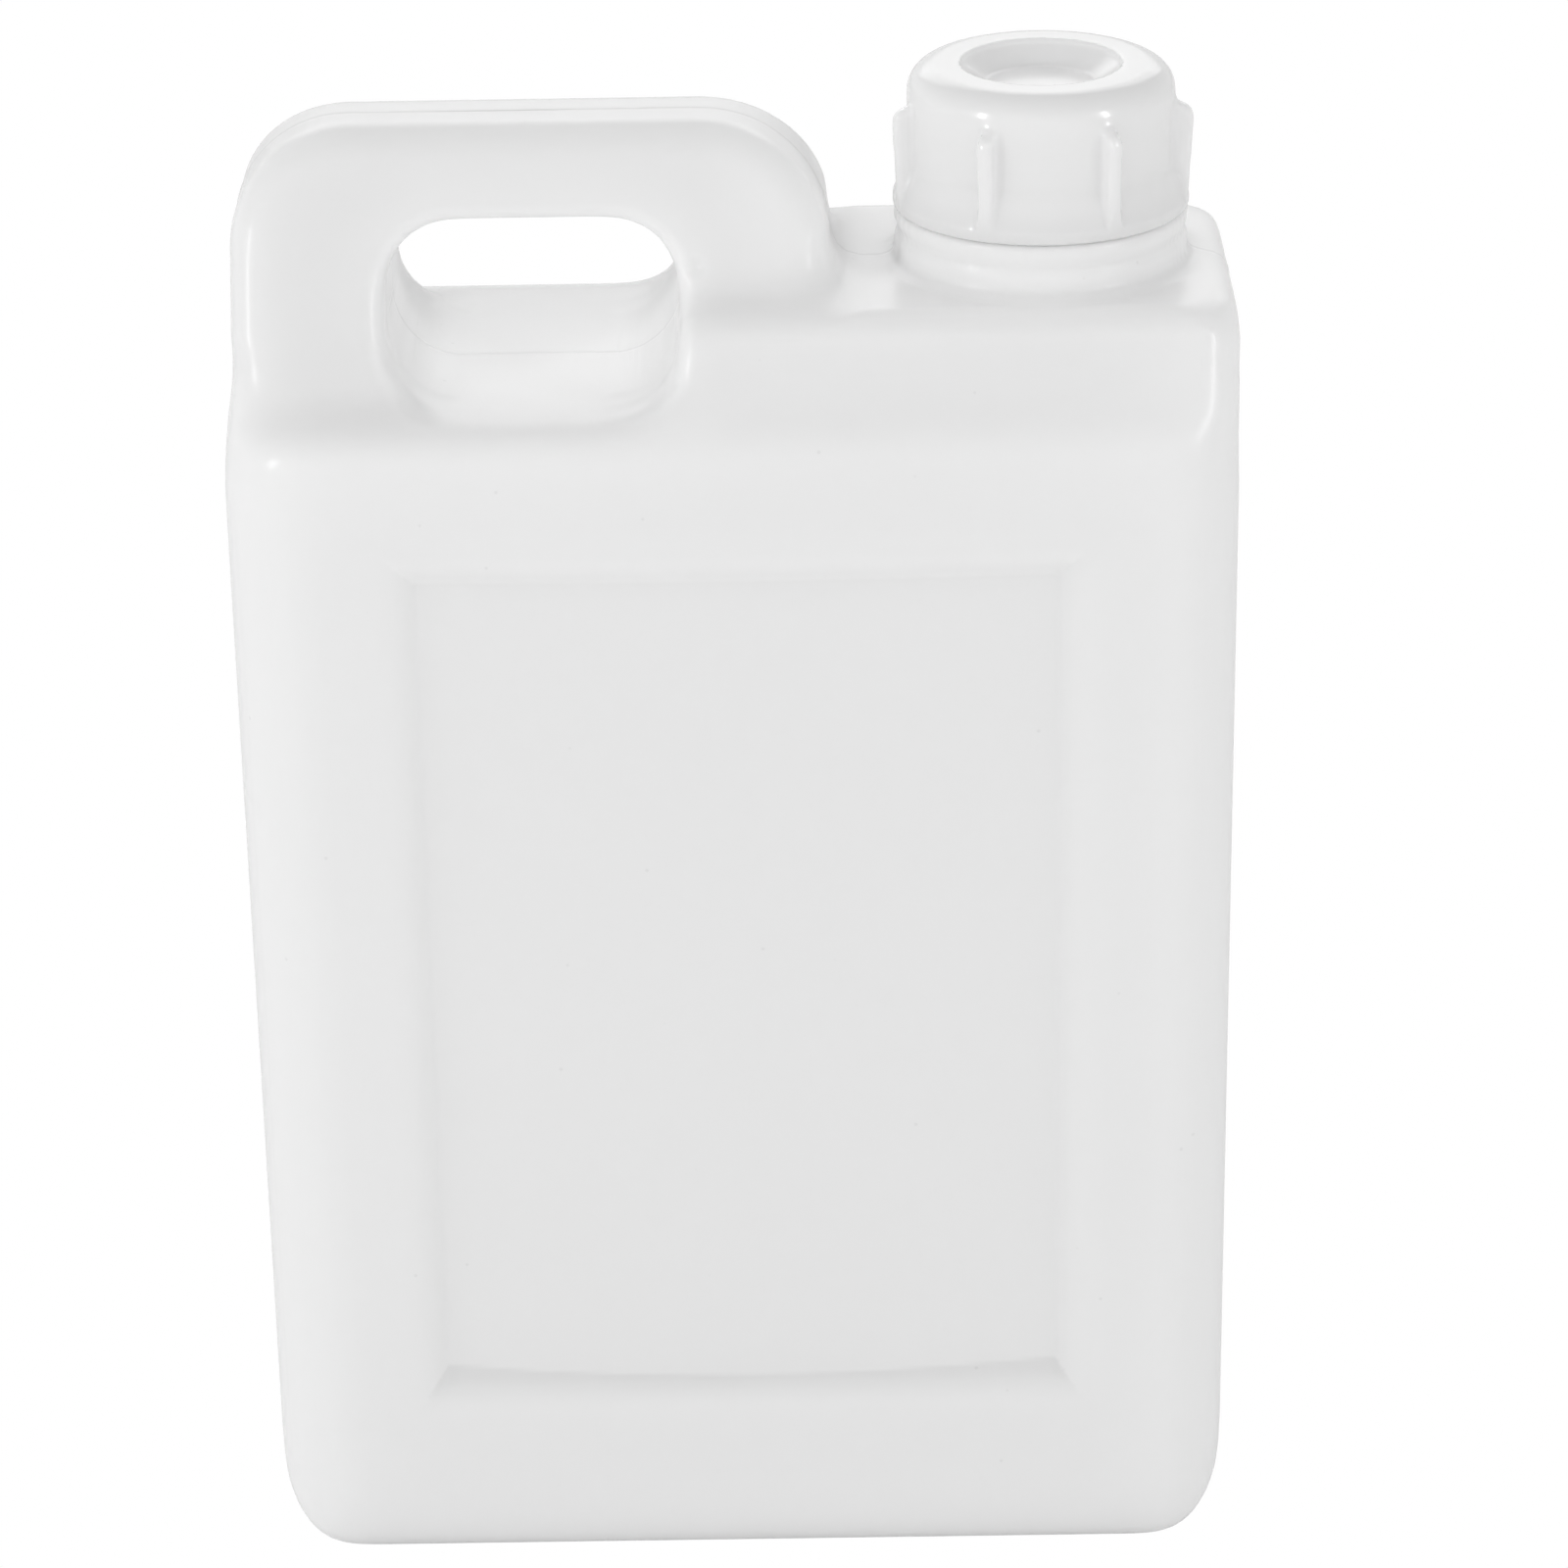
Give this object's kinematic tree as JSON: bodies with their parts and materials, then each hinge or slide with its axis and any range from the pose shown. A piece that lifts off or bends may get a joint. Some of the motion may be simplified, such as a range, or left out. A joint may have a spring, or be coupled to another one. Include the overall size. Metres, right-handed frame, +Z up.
{
  "type": "flat plastic bottle",
  "caption": "Flat rectangular bottle of milky plastic with a moulded-in grip over one end, recessed label panels and a winged screw cap on an off-centre neck.",
  "frame": {"origin": "middle of the base, on the surface that the bottle stands on", "axes": "+Z up, +X to the right towards the neck and cap, -Y out of the front face"},
  "size_m": [0.152, 0.0786, 0.2346],
  "materials": {
    "bottle_plastic": "milky white blow-moulded plastic with a soft sheen",
    "cap_plastic": "white injection-moulded plastic, smooth with a soft sheen"
  },
  "bodies": {
    "root": {"bottle": "bottle_plastic", "cap": "cap_plastic"}
  },
  "joints": []
}
